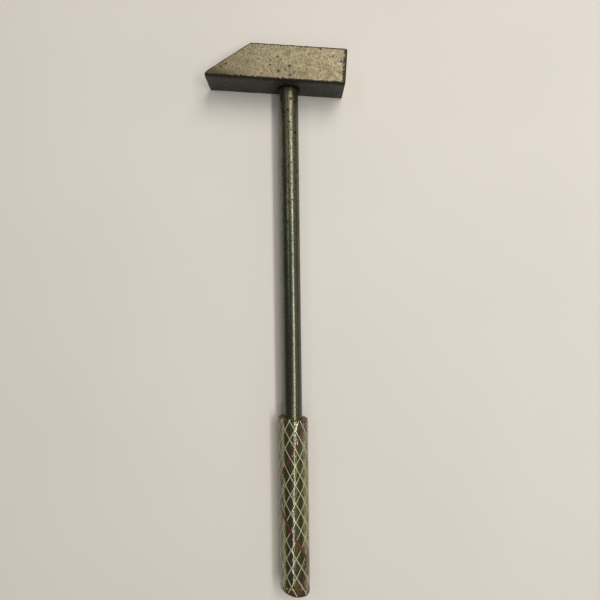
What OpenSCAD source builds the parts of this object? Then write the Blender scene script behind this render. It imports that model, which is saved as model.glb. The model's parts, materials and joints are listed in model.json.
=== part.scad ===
// Welder's chipping hammer: a steel head on a round steel rod, with a push-on braided hose grip.
// Millimetres. The hammer lies on its side on a flat surface at z = 0. The rod runs along Y with
// the head at +Y, the chisel points to -X and the striking face to +X. The origin is on the
// surface, straight below the crossing of the rod's axis and the head's long axis.

/* [Head] */
// Distance from the rod's axis to the chisel's tip
tip_reach = 42.7; // [38:0.1:48]
// Distance from the rod's axis to the striking face
face_reach = 30; // [26:0.5:36]
// Width of the bar that the head is cut from, along the handle
head_w = 18; // [17:0.5:20]
// Thickness of the bar, from the side that lies down to the side on top
head_t = 20; // [18:0.5:24]
// Distance from the rod's axis to the start of the chisel's slant
slant_start = 19.7; // [16:0.1:24]
// Flat left on the chisel's edge
tip_land = 1.4; // [0.8:0.1:3]
// Bevel along the head's edges
edge_bevel = 0.7; // [0.3:0.1:1.2]
// Angle by which the head sits out of square with the rod
head_skew = 4.2; // [0:0.1:6]

/* [Handle rod] */
// Diameter of the rod
rod_d = 10; // [9:0.5:11]
// Distance from the middle of the head to the rod's free end
rod_reach = 275.2; // [250:0.1:290]
// Bevel around the rod's free end
rod_bevel = 0.6; // [0.2:0.1:1.5]
// Gap around the rod in the head's hole
hole_gap = 0.45; // [0.2:0.05:0.6]

/* [Plug weld] */
// Diameter of the weld on the head's outer side
weld_d = 13.6; // [12.8:0.1:14.2]
// Height of the bead above the head's outer side
weld_rise = 1.3; // [0.5:0.1:2]

/* [Hose grip] */
// Wall of the hose's inner tube
liner_wall = 1.2; // [0.8:0.1:1.6]
// Room for the two layers of yarn
braid_room = 0.6; // [0.5:0.05:0.8]
// Wall of the hose's outer cover
cover_wall = 1.2; // [0.8:0.1:1.6]
// Distance from the middle of the head to the hose's cut end nearest it
grip_start = 184.8; // [170:0.1:200]
// Distance from the middle of the head to the hose's far cut end
grip_end = 277.3; // [276:0.1:292]
// Angle by which the near end is cut out of square
near_cut = 7.0; // [0:0.1:12]
// Angle by which the far end is cut out of square
far_cut = 14.3; // [0:0.1:18]

/* [Braid] */
// Yarns that spiral in each direction
yarns_each_way = 8; // [6:1:10]
// Length of hose in which a yarn goes round once
lead = 78; // [60:1:90]
// Width of a white yarn
white_w = 0.5; // [0.4:0.05:0.9]
// Width of a red marker yarn
red_w = 1.3; // [0.8:0.1:1.6]
// Distance from the middle of the head to where the left-hand red yarn is on top
red_left_at = 246.9; // [200:0.1:260]
// Distance from the middle of the head to where the right-hand red yarn is on top
red_right_at = 201.3; // [190:0.1:260]

/* [Hidden] */
// Number of sides of the round shapes, which are all true circles
$fn = 96;
// Clearance that keeps pushed-together layers from overlapping
snug = 0.02;
// Extra length that lets a cutting shape pass through a surface
past = 1;
// Degrees between two rings of a yarn
ring_step = 9;
// Distance that a yarn's ends stay inside the hose's cut faces
yarn_inset = 0.15;

rod_r = rod_d / 2;
liner_r = rod_r + liner_wall;
cover_r = liner_r + braid_room;
hose_r = cover_r + cover_wall;
// The grip and the head lie on the same surface, so the rod's axis is a hose radius above it
rod_z = hose_r;
// The slanted face was ground last, so its edges are crisper than the bar's
slant_bevel = 0.7 * edge_bevel;
// The weld's 45 degree countersink ends just inside the rod's radius, so it crosses the hole
weld_depth = weld_d / 2 - 0.96 * rod_r;
// Each layer of yarn takes a third of the room, and sits in the middle of its own half
yarn_t = braid_room / 3;
inner_yarn_r = liner_r + braid_room * 0.27;
outer_yarn_r = cover_r - braid_room * 0.27;

WHITE_YARNS = [1 : yarns_each_way - 1];

// ---- Head ----

// Corners of the slant: where it leaves the outer side, and where it meets the chisel's edge
slant_top = [-slant_start, head_w / 2];
slant_tip = [-tip_reach, tip_land - head_w / 2];
slant_angle = atan2(slant_top.y - slant_tip.y, slant_top.x - slant_tip.x);

// A rectangle from its low corner to its high corner, with bevelled corners
module bevelled_rect(low, high, bevel) {
    polygon([
        [low.x + bevel, low.y], [high.x - bevel, low.y],
        [high.x, low.y + bevel], [high.x, high.y - bevel],
        [high.x - bevel, high.y], [low.x + bevel, high.y],
        [low.x, high.y - bevel], [low.x, low.y + bevel]
    ]);
}

// The head seen from above, square to its own long axis
module head_outline() {
    polygon([
        slant_tip, [-tip_reach, -head_w / 2],
        [face_reach, -head_w / 2], [face_reach, head_w / 2], slant_top
    ]);
}

// The bar's cross-section, run along the head
module bar_section() {
    rotate([90, 0, 90])
        linear_extrude(3 * tip_reach, center = true)
            bevelled_rect([-head_w / 2, 0], [head_w / 2, head_t], edge_bevel);
}

// The head seen along the handle, which bevels the striking face and the chisel's edge
module end_section() {
    rotate([90, 0, 0])
        linear_extrude(2 * head_w, center = true)
            bevelled_rect([-tip_reach, 0], [face_reach, head_t], edge_bevel);
}

// Everything behind the slanted face, with that face's two long edges bevelled
module slant_section() {
    translate(slant_top)
        rotate([0, 0, slant_angle + 90])
            rotate([90, 0, 0])
                linear_extrude(6 * tip_reach, center = true)
                    bevelled_rect([-3 * tip_reach, 0], [0, head_t], slant_bevel);
}

module head_block() {
    intersection() {
        linear_extrude(head_t) head_outline();
        bar_section();
        end_section();
        slant_section();
    }
}

// Puts a shape on the head's outer side where the rod comes through, with +Z out of the face
module at_outer_side() {
    rotate([0, 0, -head_skew])
        translate([-head_w / 2 * tan(head_skew), head_w / 2, rod_z])
            rotate([-90, 0, 0])
                children();
}

// The countersink that the weld fills
module weld_seat() {
    translate([0, 0, -weld_depth])
        cylinder(r1 = weld_d / 2 - weld_depth, r2 = weld_d / 2, h = weld_depth);
}

module head() {
    color([0.52, 0.49, 0.41])
        difference() {
            rotate([0, 0, -head_skew]) head_block();
            translate([0, 0, rod_z])
                rotate([90, 0, 0])
                    cylinder(r = rod_r + hole_gap, h = 2 * head_w, center = true);
            at_outer_side() {
                weld_seat();
                cylinder(d = weld_d, h = past);
            }
        }
}

// ---- Rod and weld ----

module handle_rod() {
    color([0.40, 0.41, 0.36])
        difference() {
            translate([0, -rod_reach, rod_z])
                rotate([-90, 0, 0]) {
                    cylinder(r1 = rod_r - rod_bevel, r2 = rod_r, h = rod_bevel);
                    translate([0, 0, rod_bevel])
                        cylinder(r = rod_r, h = rod_reach - rod_bevel + head_w);
                }
            at_outer_side()
                translate([0, 0, -weld_depth])
                    cylinder(r = head_w, h = 2 * head_w);
        }
}

module plug_weld() {
    weld_r = weld_d / 2;
    dome_r = (pow(weld_r, 2) + pow(weld_rise, 2)) / (2 * weld_rise);
    color([0.34, 0.33, 0.32])
        at_outer_side() {
            weld_seat();
            intersection() {
                translate([0, 0, weld_rise - dome_r]) sphere(r = dome_r);
                cylinder(r = weld_r, h = weld_rise);
            }
        }
}

// ---- Hose ----

// A half-space that trims a hose end: everything past a plane that is out of square by cut
module beyond_end(distance, cut, away) {
    size = 8 * hose_r;
    translate([0, -distance, rod_z])
        rotate([0, 0, -cut])
            translate([-size / 2, away > 0 ? 0 : -size, -size / 2])
                cube(size);
}

// One of the hose's two plain tubes
module hose_tube(inner_r, outer_r) {
    overrun = 2 * hose_r;
    difference() {
        translate([0, overrun / 2 - grip_start, rod_z])
            rotate([90, 0, 0])
                difference() {
                    cylinder(r = outer_r, h = grip_end - grip_start + overrun);
                    translate([0, 0, -past])
                        cylinder(r = inner_r, h = grip_end - grip_start + overrun + 2 * past);
                }
        beyond_end(grip_start, near_cut, 1);
        beyond_end(grip_end, far_cut, -1);
    }
}

module hose_liner() {
    color([0.66, 0.66, 0.58, 0.5]) hose_tube(rod_r + snug, liner_r);
}

module hose_cover() {
    color([0.70, 0.70, 0.62, 0.4]) hose_tube(cover_r, hose_r);
}

// ---- Yarns ----

// Angle round the hose, from +X towards +Z, of a left-hand yarn that is on top at y = top_y
function yarn_angle(y, top_y) = 90 + 360 * (y - top_y) / lead;

// Where a yarn meets a slanted end of the hose: each pass brings y closer to that plane
function meet_end(y, top_y, r, plane_y, cut, passes = 8) =
    passes == 0 ? y : meet_end(
        plane_y - r * cos(yarn_angle(y, top_y)) * tan(cut), top_y, r, plane_y, cut, passes - 1
    );

// A corner of a yarn's flat section, on a cylinder about the rod's axis
function on_cylinder(r, angle, y) = [r * cos(angle), y, rod_z + r * sin(angle)];

// A left-hand yarn as a flat ribbon: rings of four corners, joined in a run and capped
module spiral_ribbon(top_y, r, width, near, far) {
    start_y = meet_end(-grip_start, top_y, r, -grip_start - yarn_inset, near);
    stop_y = meet_end(-grip_end, top_y, r, -grip_end + yarn_inset, far);
    rings = ceil(360 * (start_y - stop_y) / lead / ring_step);
    // Half the ribbon's width as an angle, measured square across the hose
    spread = width / 2 / cos(atan(2 * PI * r / lead)) / r * 180 / PI;
    low = r - yarn_t / 2;
    high = r + yarn_t / 2;
    points = [
        for (i = [0 : rings])
            let (y = start_y + (stop_y - start_y) * i / rings, a = yarn_angle(y, top_y))
            each [
                on_cylinder(low, a + spread, y), on_cylinder(high, a + spread, y),
                on_cylinder(high, a - spread, y), on_cylinder(low, a - spread, y)
            ]
    ];
    last = 4 * rings;
    sides = [
        for (i = [0 : rings - 1]) for (k = [0 : 3])
            let (p = 4 * i + k, q = 4 * i + (k + 1) % 4)
            each (k < 2
                ? [[p, q, q + 4], [p, q + 4, p + 4]]
                : [[p, q, p + 4], [q, q + 4, p + 4]])
    ];
    ends = [[3, 2, 1], [3, 1, 0], [last, last + 1, last + 2], [last, last + 2, last + 3]];
    polyhedron(points, concat(sides, ends), convexity = 10);
}

// Yarn n of a direction; n = 0 is its red marker, and the others follow at even steps
module yarn(hand, n) {
    left = hand == "left";
    top_y = -(left ? red_left_at : red_right_at) - n * lead / yarns_each_way;
    mirror([left ? 0 : 1, 0, 0])
        spiral_ribbon(
            top_y, left ? outer_yarn_r : inner_yarn_r, n == 0 ? red_w : white_w,
            left ? near_cut : -near_cut, left ? far_cut : -far_cut
        );
}

module red_yarn(hand) {
    color([0.50, 0.14, 0.10]) yarn(hand, 0);
}

module white_yarn(hand, n) {
    color([0.86, 0.86, 0.76]) yarn(hand, n);
}

head();
handle_rod();
plug_weld();
hose_liner();
hose_cover();
for (hand = ["left", "right"]) {
    red_yarn(hand);
    for (n = WHITE_YARNS)
        white_yarn(hand, n);
}
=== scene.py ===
"""Looks of a welder's chipping hammer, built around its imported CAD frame.

The hammer lies on its side. The rod runs along Y with the head at +Y, the chisel points to -X,
and everything is in metres in the frame of the CAD model.
"""

import json
import logging
import math
from collections.abc import Sequence
from dataclasses import dataclass, field
from enum import Enum
from functools import reduce

import bmesh
import bpy
import numpy as np
from mathutils import Matrix, Vector


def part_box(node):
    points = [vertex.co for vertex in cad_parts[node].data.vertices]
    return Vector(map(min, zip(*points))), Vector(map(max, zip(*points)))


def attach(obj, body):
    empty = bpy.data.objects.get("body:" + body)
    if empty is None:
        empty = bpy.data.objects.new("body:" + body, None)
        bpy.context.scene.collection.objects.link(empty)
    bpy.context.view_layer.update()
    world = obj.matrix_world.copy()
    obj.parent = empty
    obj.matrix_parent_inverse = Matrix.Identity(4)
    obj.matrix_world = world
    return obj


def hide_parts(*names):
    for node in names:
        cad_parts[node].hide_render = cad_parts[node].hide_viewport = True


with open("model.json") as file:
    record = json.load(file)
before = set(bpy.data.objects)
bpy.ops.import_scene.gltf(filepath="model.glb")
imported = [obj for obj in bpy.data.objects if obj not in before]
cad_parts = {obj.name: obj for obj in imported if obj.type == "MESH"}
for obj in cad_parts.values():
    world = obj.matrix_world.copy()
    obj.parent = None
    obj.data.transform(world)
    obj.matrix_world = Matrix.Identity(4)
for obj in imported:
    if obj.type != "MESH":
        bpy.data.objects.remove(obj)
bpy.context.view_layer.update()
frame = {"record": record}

LOG = logging.getLogger("chipping_hammer")
MM = 0.001
BODY = "root"

Colour = tuple[float, float, float]
Material = bpy.types.Material
Mesh = bpy.types.Mesh
Node = bpy.types.Node
Piece = bpy.types.Object
Socket = bpy.types.NodeSocket
Source = Socket | float | int | Sequence[float]


def put_in_scene(name: str, data: bpy.types.ID) -> Piece:
    """Makes an object and puts it in the scene.

    Args:
        name: The object's name.
        data: Its mesh, light or camera.

    Returns:
        The object.
    """
    made = bpy.data.objects.new(name, data)
    bpy.context.scene.collection.objects.link(made)
    return made


# ---------------------------------------------------------------------------
# Node trees
# ---------------------------------------------------------------------------


class Tree:
    """A node tree that is written as plain calls, for materials and for geometry."""

    def __init__(self, tree: bpy.types.NodeTree) -> None:
        """Keeps the tree.

        Args:
            tree: The node tree that the calls add to.
        """
        self.tree = tree

    def add(self, kind: str, inputs: dict[str | int, Source] | None = None,
            **settings: object) -> Node:
        """Adds one node.

        Args:
            kind: The node's type name.
            inputs: Sockets to link, or values to set, by input name or number.
            settings: Properties of the node itself.

        Returns:
            The new node.
        """
        node = self.tree.nodes.new(kind)
        for name, value in settings.items():
            setattr(node, name, value)
        for name, value in (inputs or {}).items():
            self.feed(node.inputs[name], value)
        return node

    def feed(self, socket: Socket, value: Source) -> None:
        """Links a socket to another one, or sets its value.

        Args:
            socket: The input to feed.
            value: An output socket, a number or a list of numbers.
        """
        if isinstance(value, Socket):
            self.tree.links.new(value, socket)
        elif hasattr(socket.default_value, "__len__") and len(socket.default_value) == 4 \
                and len(value) == 3:
            socket.default_value = (*value, 1.0)
        else:
            socket.default_value = value

    def math(self, operation: str, a: Source, b: Source = 0.0, c: Source = 0.0) -> Socket:
        """A Math node's result.

        Args:
            operation: The operation's name, such as "MULTIPLY".
            a: First input.
            b: Second input.
            c: Third input.

        Returns:
            The output socket.
        """
        node = self.add("ShaderNodeMath", operation=operation)
        for socket, value in zip(node.inputs, (a, b, c)):
            self.feed(socket, value)
        return node.outputs[0]

    def total(self, *values: Source) -> Socket:
        """The sum of two or more values."""
        return reduce(lambda a, b: self.math("ADD", a, b), values)

    def product(self, *values: Source) -> Socket:
        """Two or more values multiplied."""
        return reduce(lambda a, b: self.math("MULTIPLY", a, b), values)

    def most(self, *values: Source) -> Socket:
        """The largest of two or more values."""
        return reduce(lambda a, b: self.math("MAXIMUM", a, b), values)

    def weigh(self, *parts: tuple[Source, float]) -> Socket:
        """The sum of some values, each with a weight of its own.

        Args:
            parts: Pairs of a value and its weight.

        Returns:
            The sum.
        """
        return self.total(*(self.product(value, weight) for value, weight in parts))

    def axes(self, place: Socket) -> list[Socket]:
        """A position's X, Y and Z."""
        return list(self.add("ShaderNodeSeparateXYZ", {"Vector": place}).outputs)

    def spread(self, value: Source, low: float, high: float,
               to_low: float = 0.0, to_high: float = 1.0, smooth: bool = False) -> Socket:
        """Maps a range of a value onto another range, and clamps it.

        Args:
            value: The value to map.
            low: Where the range starts.
            high: Where the range ends.
            to_low: What low becomes.
            to_high: What high becomes.
            smooth: Whether the change eases in and out.

        Returns:
            The mapped value.
        """
        node = self.add(
            "ShaderNodeMapRange",
            {"Value": value, "From Min": low, "From Max": high,
             "To Min": to_low, "To Max": to_high},
            interpolation_type="SMOOTHSTEP" if smooth else "LINEAR", clamp=True,
        )
        return node.outputs["Result"]

    def noise(self, place: Socket, grain: float, detail: float = 3.0,
              rough: float = 0.55, twist: float = 0.0, seed: float = 0.0) -> Socket:
        """Smooth random variation.

        Args:
            place: The position that is read.
            grain: The size of a blotch, in metres.
            detail: Number of finer layers on top.
            rough: Strength of each finer layer beside the one before.
            twist: How far the pattern is distorted.
            seed: Picks one of many patterns.

        Returns:
            A value around 0.5.
        """
        node = self.add(
            "ShaderNodeTexNoise",
            {"Vector": place, "W": seed, "Scale": 1.0 / grain, "Detail": detail,
             "Roughness": rough, "Distortion": twist},
            noise_dimensions="4D",
        )
        return node.outputs["Fac"]

    def spots(self, place: Socket, pitch: float, radius: float, share: float,
              seed: float = 0.0, ragged: float = 0.5) -> Socket:
        """Scattered spots with uneven outlines.

        Args:
            place: The position that is read.
            pitch: Mean distance between two cells, in metres.
            radius: The largest spot's radius, as a share of the pitch.
            share: The share of the cells that have a spot.
            seed: Picks one of many patterns.
            ragged: How uneven the outlines are.

        Returns:
            1 in the middle of a spot, 0 outside.
        """
        moved = self.add("ShaderNodeVectorMath", {0: place, 1: (0.013 * seed, 0.007 * seed, 0.0)},
                         operation="ADD").outputs[0]
        cell = self.add("ShaderNodeTexVoronoi",
                        {"Vector": moved, "Scale": 1.0 / pitch, "Randomness": 1.0})
        split = self.add("ShaderNodeSeparateColor", {"Color": cell.outputs["Color"]})
        size = self.spread(split.outputs["Green"], 0.0, 1.0, 0.5 * radius, radius)
        wave = self.noise(moved, 0.35 * pitch, 2.0, 0.6, seed=seed)
        size = self.product(size, self.spread(wave, 0.3, 0.7, 1.0 - ragged, 1.0 + ragged))
        near = self.math("SUBTRACT", 1.0, self.math("DIVIDE", cell.outputs["Distance"], size))
        here = self.math("LESS_THAN", split.outputs["Red"], share)
        return self.product(self.spread(near, 0.0, 0.4, smooth=True), here)


class ShaderTree(Tree):
    """A material's node tree."""

    def __init__(self, name: str) -> None:
        """Makes an empty material.

        Args:
            name: The material's name.
        """
        self.material = bpy.data.materials.new(name)
        self.material.use_nodes = True
        super().__init__(self.material.node_tree)
        self.tree.nodes.clear()
        self.place = self.add("ShaderNodeTexCoord").outputs["Object"]

    def stretched(self, scale: Sequence[float], turn: float = 0.0) -> Socket:
        """The position, squeezed along the axes and turned about Z.

        Args:
            scale: Factor along each axis.
            turn: Angle about Z, in radians.

        Returns:
            The new position.
        """
        node = self.add("ShaderNodeMapping", {
            "Vector": self.place, "Rotation": (0.0, 0.0, turn), "Scale": tuple(scale)})
        return node.outputs["Vector"]

    def attribute(self, name: str) -> Socket:
        """A value stored on the mesh's points."""
        return self.add("ShaderNodeAttribute", attribute_name=name).outputs["Fac"]

    def ramp(self, value: Socket, *stops: tuple[float, Colour]) -> Socket:
        """Turns a value into a colour.

        Args:
            value: The value, from 0 to 1.
            stops: Pairs of a position and a colour.

        Returns:
            The colour.
        """
        node = self.add("ShaderNodeValToRGB", {"Fac": value})
        elements = node.color_ramp.elements
        while len(elements) < len(stops):
            elements.new(0.5)
        for element, (position, colour) in zip(elements, stops):
            element.position = position
            element.color = (*colour, 1.0)
        return node.outputs["Color"]

    def blend(self, share: Source, under: Source, over: Source, how: str = "MIX") -> Socket:
        """Mixes two colours.

        Args:
            share: 0 for the colour under, 1 for the colour over.
            under: The first colour.
            over: The second colour.
            how: The blend mode.

        Returns:
            The mixed colour.
        """
        node = self.add("ShaderNodeMix", data_type="RGBA", blend_type=how)
        self.feed(node.inputs["Factor"], share)
        first, second = [s for s in node.inputs if s.type == "RGBA"]
        self.feed(first, under)
        self.feed(second, over)
        return next(s for s in node.outputs if s.type == "RGBA")

    def bump(self, height: Socket, depth: float, strength: float = 1.0,
             under: Socket | None = None) -> Socket:
        """A normal that leans with a height.

        Args:
            height: The height, where 1 is full depth.
            depth: Full depth in metres.
            strength: How much of the lean is used.
            under: A normal that this one adds to.

        Returns:
            The normal.
        """
        inputs = {"Height": height, "Distance": depth, "Strength": strength}
        if under is not None:
            inputs["Normal"] = under
        return self.add("ShaderNodeBump", inputs).outputs["Normal"]

    def surface(self, **inputs: Source) -> Node:
        """A Principled shader.

        Args:
            inputs: Its inputs, with underscores for the spaces in their names.

        Returns:
            The shader node.
        """
        return self.add("ShaderNodeBsdfPrincipled",
                        {name.replace("_", " "): value for name, value in inputs.items()})

    def finish(self, shader: Node, volume: Node | None = None) -> Material:
        """Ends the tree in the material's output.

        Args:
            shader: The last shader node.
            volume: What fills the inside, if anything does.

        Returns:
            The material.
        """
        inputs = {"Surface": shader.outputs[0]}
        if volume is not None:
            inputs["Volume"] = volume.outputs[0]
        self.add("ShaderNodeOutputMaterial", inputs)
        return self.material


class GeometryTree(Tree):
    """A Geometry Nodes tree with named inputs."""

    KINDS = {float: "NodeSocketFloat", int: "NodeSocketInt", Material: "NodeSocketMaterial"}

    def __init__(self, name: str, **inputs: type) -> None:
        """Makes an empty tree with its interface.

        Args:
            name: The tree's name.
            inputs: Each named input and its type.
        """
        super().__init__(bpy.data.node_groups.new(name, "GeometryNodeTree"))
        face = self.tree.interface
        face.new_socket("Geometry", in_out="OUTPUT", socket_type="NodeSocketGeometry")
        face.new_socket("Geometry", in_out="INPUT", socket_type="NodeSocketGeometry")
        for label, kind in inputs.items():
            face.new_socket(label, in_out="INPUT", socket_type=self.KINDS[kind])
        self.entry = self.add("NodeGroupInput")

    def value(self, name: str) -> Socket:
        """One of the tree's named inputs."""
        return self.entry.outputs[name]

    def finish(self, geometry: Socket, material: Socket) -> None:
        """Ends the tree: smooth shading, real instances and the material.

        Args:
            geometry: The finished geometry.
            material: The material input.
        """
        smooth = self.add("GeometryNodeSetShadeSmooth", {"Geometry": geometry})
        real = self.add("GeometryNodeRealizeInstances", {"Geometry": smooth.outputs[0]})
        painted = self.add("GeometryNodeSetMaterial",
                           {"Geometry": real.outputs[0], "Material": material})
        self.add("NodeGroupOutput", {"Geometry": painted.outputs[0]})

    def run(self, name: str, mesh: Mesh | None = None, **values: object) -> Piece:
        """Runs the tree once and keeps its result as a plain mesh.

        Args:
            name: The new piece's name.
            mesh: The mesh that the tree reshapes, if it takes one.
            values: The named inputs.

        Returns:
            The new piece, with no modifier left on it.
        """
        piece = put_in_scene(name, mesh or bpy.data.meshes.new(name))
        modifier = piece.modifiers.new("rule", "NODES")
        modifier.node_group = self.tree
        for item in self.tree.interface.items_tree:
            if item.in_out == "INPUT" and item.name in values:
                modifier[item.identifier] = values[item.name]
        graph = bpy.context.evaluated_depsgraph_get()
        result = bpy.data.meshes.new_from_object(
            piece.evaluated_get(graph), preserve_all_data_layers=True, depsgraph=graph)
        piece.modifiers.clear()
        piece.data = result
        result.name = name
        return piece


# ---------------------------------------------------------------------------
# Finishes
# ---------------------------------------------------------------------------


@dataclass(frozen=True)
class HeadSteel:
    """Dull bar steel with a mottled scale, dark pits, dark bands along its edges, painted shadow at
    the hole's mouth and painted shade on one side.
    """

    skew: float
    dark: Colour = (0.106, 0.081, 0.045)
    middle: Colour = (0.253, 0.213, 0.127)
    light: Colour = (0.54, 0.485, 0.33)
    stain: Colour = (0.088, 0.070, 0.038)
    # Painted shade for the side toward the grip, which faces away from the light
    shade_side: Colour = (0.011, 0.011, 0.008)
    painted_shade_light: Colour = (0.066, 0.064, 0.050)
    # Dark marks, and the painted shadow in and round the hole's mouth
    soot_and_shadow: Colour = (0.018, 0.011, 0.005)
    metallic: float = 0.5

    def build(self) -> Material:
        """Makes the material."""
        tree = ShaderTree("head_steel")
        along = tree.stretched((1.0, 1.0, 1.0), turn=self.skew)
        blotch = tree.noise(along, 3.2 * MM, 3.0, 0.6, 0.4)
        mottle = tree.noise(along, 0.85 * MM, 3.0, 0.65)
        grain = tree.noise(along, 0.42 * MM, 2.0, 0.6, seed=2.0)
        tone = tree.weigh((blotch, 0.17), (mottle, 0.40), (grain, 0.43))
        colour = tree.ramp(tree.spread(tone, 0.34, 0.66), (0.0, self.dark),
                           (0.45, self.middle), (1.0, self.light))
        # Stains in clouds, and more of them toward the tip and along its near edge
        cloud = tree.noise(along, 15.0 * MM, 2.0, 0.5, seed=5.0)
        u, v, _ = tree.axes(along)
        front = tree.product(tree.spread(v, -4.5 * MM, -8.5 * MM),
                             tree.spread(u, -16 * MM, -33 * MM, 0.0, 0.75))
        stain = tree.total(tree.spread(u, -14 * MM, -40 * MM, 0.0, 0.30),
                           tree.spread(cloud, 0.4, 0.65, 0.0, 0.22), front,
                           tree.spread(u, -30 * MM, -41 * MM, 0.0, 0.42))
        colour = tree.blend(stain, colour, self.stain)
        # Painted shade: the side toward the grip, which faces away from the light, is darkened,
        # with streaks along the bar
        long_way = tree.stretched((0.25, 1.0, 1.0), turn=self.skew)
        streak = tree.noise(long_way, 0.9 * MM, 3.0, seed=7.0)
        scale = tree.spread(tree.weigh((streak, 0.45), (tone, 0.55)), 0.40, 0.62)
        colour = tree.blend(tree.attribute("shade_side"), colour,
                            tree.blend(scale, self.shade_side, self.painted_shade_light))
        # Dark marks: small pits, specks, dark bands along the edges, painted shadow in and round
        # the hole's mouth, and the larger pits
        pits = tree.spots(along, 3.2 * MM, 0.22, 0.35, 1.0)
        specks = tree.spots(along, 1.45 * MM, 0.30, 0.42, 4.0)
        chewed = tree.spread(tree.weigh((mottle, 0.55), (grain, 0.45)), 0.36, 0.62, 1.9, 0.75)
        ragged = tree.product(tree.attribute("edge"), chewed)
        marks = tree.most(tree.product(pits, 0.95), tree.product(specks, 0.7),
                          tree.spread(ragged, 0.42, 0.72, 0.0, 0.95, smooth=True),
                          tree.attribute("mouth"), tree.attribute("pit"))
        colour = tree.blend(marks, colour, self.soot_and_shadow)
        rough = tree.most(tree.spread(tone, 0.35, 0.65, 0.60, 0.42), tree.product(marks, 0.65))
        normal = tree.bump(tree.weigh((tone, 1.0), (marks, -0.5)), 0.10 * MM, 0.7)
        return tree.finish(tree.surface(Base_Color=colour, Metallic=self.metallic,
                                        Roughness=rough, Normal=normal))


@dataclass(frozen=True)
class RodSteel:
    """Drawn round bar: semi-bright, olive grey, with specks, pits and rust at the free end."""

    skew: float
    head_y: float
    free_y: float
    grip_y: float
    dark: Colour = (0.026, 0.026, 0.018)
    middle: Colour = (0.098, 0.101, 0.070)
    light: Colour = (0.215, 0.225, 0.165)
    plain: Colour = (0.102, 0.107, 0.078)
    brown: Colour = (0.165, 0.140, 0.088)
    olive: Colour = (0.152, 0.166, 0.064)
    # Dark marks, and the painted shadow where the bar goes into the head
    soot_and_shadow: Colour = (0.010, 0.008, 0.005)
    rust: Colour = (0.23, 0.095, 0.028)
    metallic: float = 0.9

    def build(self) -> Material:
        """Makes the material."""
        tree = ShaderTree("rod_steel")
        streak = tree.noise(tree.stretched((1.0, 0.40, 1.0)), 0.65 * MM, 3.0, 0.6, 0.3)
        grain = tree.noise(tree.place, 0.45 * MM, 3.0, 0.6, seed=3.0)
        cloud = tree.noise(tree.stretched((1.0, 0.35, 1.0)), 5.0 * MM, 3.0, 0.5, seed=6.0)
        tone = tree.weigh((streak, 0.4), (grain, 0.4), (cloud, 0.2))
        colour = tree.ramp(tree.spread(tone, 0.36, 0.64), (0.0, self.dark),
                           (0.45, self.middle), (1.0, self.light))
        # Plainer down the bar, browner toward the head, greener inside the hose
        x, y, _ = tree.axes(tree.place)
        smooth = tree.spread(y, self.head_y - 60 * MM, self.head_y - 170 * MM, 0.15, 0.72)
        near_head = tree.spread(y, self.head_y - 75 * MM, self.head_y - 8 * MM)
        hidden = tree.spread(y, self.grip_y + 1 * MM, self.grip_y - 3 * MM)
        brown = tree.product(near_head, tree.spread(streak, 0.3, 0.65, 0.1, 0.75))
        olive = tree.product(hidden, tree.spread(streak, 0.3, 0.65, 0.5, 0.95))
        colour = tree.blend(smooth, colour, self.plain)
        colour = tree.blend(brown, colour, self.brown)
        colour = tree.blend(olive, colour, self.olive)
        reach = tree.total(tree.spread(y, self.free_y + 17 * MM, self.free_y, 0.0, 0.75),
                           tree.spread(cloud, 0.3, 0.75, -0.35, 0.35))
        rusty = tree.spread(reach, 0.25, 0.6, smooth=True)
        colour = tree.blend(tree.product(rusty, 0.85), colour, self.rust)
        flat = tree.stretched((1.0, 0.75, 1.0))
        pits = tree.spots(flat, 2.2 * MM, 0.32, 0.9, 1.0)
        specks = tree.spots(flat, 1.05 * MM, 0.48, 0.55, 4.0)
        fewer = tree.spread(y, self.head_y - 110 * MM, self.head_y - 40 * MM, 0.35, 1.0)
        # Painted shadow where the bar goes into the head, whose face leans by the skew
        level = tree.math("MULTIPLY_ADD", x, -math.tan(self.skew), y)
        shadow_ring = tree.spread(level, self.head_y - 1.2 * MM, self.head_y - 0.4 * MM)
        marks = tree.most(tree.product(fewer, tree.most(pits, tree.product(specks, 0.85))),
                          tree.product(shadow_ring, 0.95))
        colour = tree.blend(marks, colour, self.soot_and_shadow)
        polish = tree.total(tree.spread(tone, 0.36, 0.64, 0.33, 0.23),
                            tree.weigh((near_head, 0.08), (hidden, 0.06)))
        rough = tree.most(polish, tree.product(marks, 0.7), tree.product(rusty, 0.7))
        normal = tree.bump(tree.weigh((tone, 1.0), (marks, -0.6)), 0.022 * MM, 0.45)
        return tree.finish(tree.surface(Base_Color=colour, Metallic=self.metallic,
                                        Roughness=rough, Normal=normal))


@dataclass(frozen=True)
class WeldMetal:
    """A weld bead: dark, rippled, with a brown heat tint and bright worn crests."""

    dark: Colour = (0.035, 0.032, 0.030)
    light: Colour = (0.17, 0.16, 0.145)
    tint: Colour = (0.13, 0.075, 0.035)
    worn: Colour = (0.33, 0.31, 0.28)
    metallic: float = 0.7

    def build(self) -> Material:
        """Makes the material."""
        tree = ShaderTree("weld_metal")
        mottle = tree.noise(tree.place, 0.9 * MM, 4.0, 0.6)
        grain = tree.noise(tree.place, 0.25 * MM, 2.0, seed=3.0)
        heat = tree.noise(tree.place, 4 * MM, seed=8.0)
        colour = tree.ramp(tree.spread(mottle, 0.3, 0.7), (0.0, self.dark), (1.0, self.light))
        colour = tree.blend(tree.spread(heat, 0.45, 0.7, 0.0, 0.6), colour, self.tint)
        colour = tree.blend(tree.product(tree.attribute("crest"), 0.5), colour, self.worn)
        rough = tree.spread(mottle, 0.3, 0.7, 0.6, 0.36)
        normal = tree.bump(tree.weigh((mottle, 1.0), (grain, 0.4)), 0.08 * MM, 0.7)
        return tree.finish(tree.surface(Base_Color=colour, Metallic=self.metallic,
                                        Roughness=rough, Normal=normal))


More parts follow.
